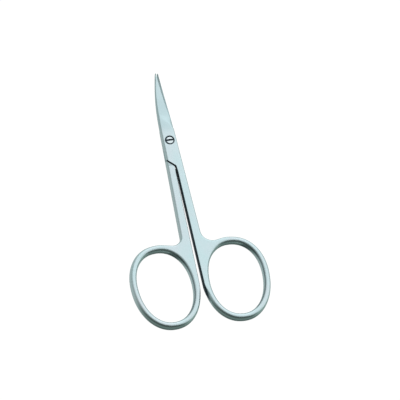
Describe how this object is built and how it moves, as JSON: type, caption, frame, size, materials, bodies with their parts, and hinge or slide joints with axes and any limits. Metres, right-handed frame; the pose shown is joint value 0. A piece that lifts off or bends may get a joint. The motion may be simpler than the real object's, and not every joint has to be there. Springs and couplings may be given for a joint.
{
  "type": "cuticle scissors",
  "caption": "Curved cuticle scissors: lapped steel halves with oval finger rings and fine upturned blades, turning on a slotted pivot screw.",
  "frame": {"origin": "on the pivot axis, in the plane of the back faces that the scissors lie on", "axes": "+Y from the pivot toward the blade tips, +Z from the back faces toward the screw head, +X toward the front half's finger ring"},
  "size_m": [0.046, 0.0905, 0.0054],
  "materials": {
    "front_steel": "satin brushed",
    "back_steel": "satin brushed",
    "screw_steel": "polished"
  },
  "bodies": {
    "back_body": {"back_half": "back_steel", "pivot_screw": "screw_steel"},
    "front_body": {"front_half": "front_steel"}
  },
  "joints": [
    {"name": "pivot", "type": "hinge", "parent": "back_body", "child": "front_body", "pos_m": [0, 0, 0], "axis": [0, 0, 1], "range_deg": [-1.2, 58.8]}
  ]
}
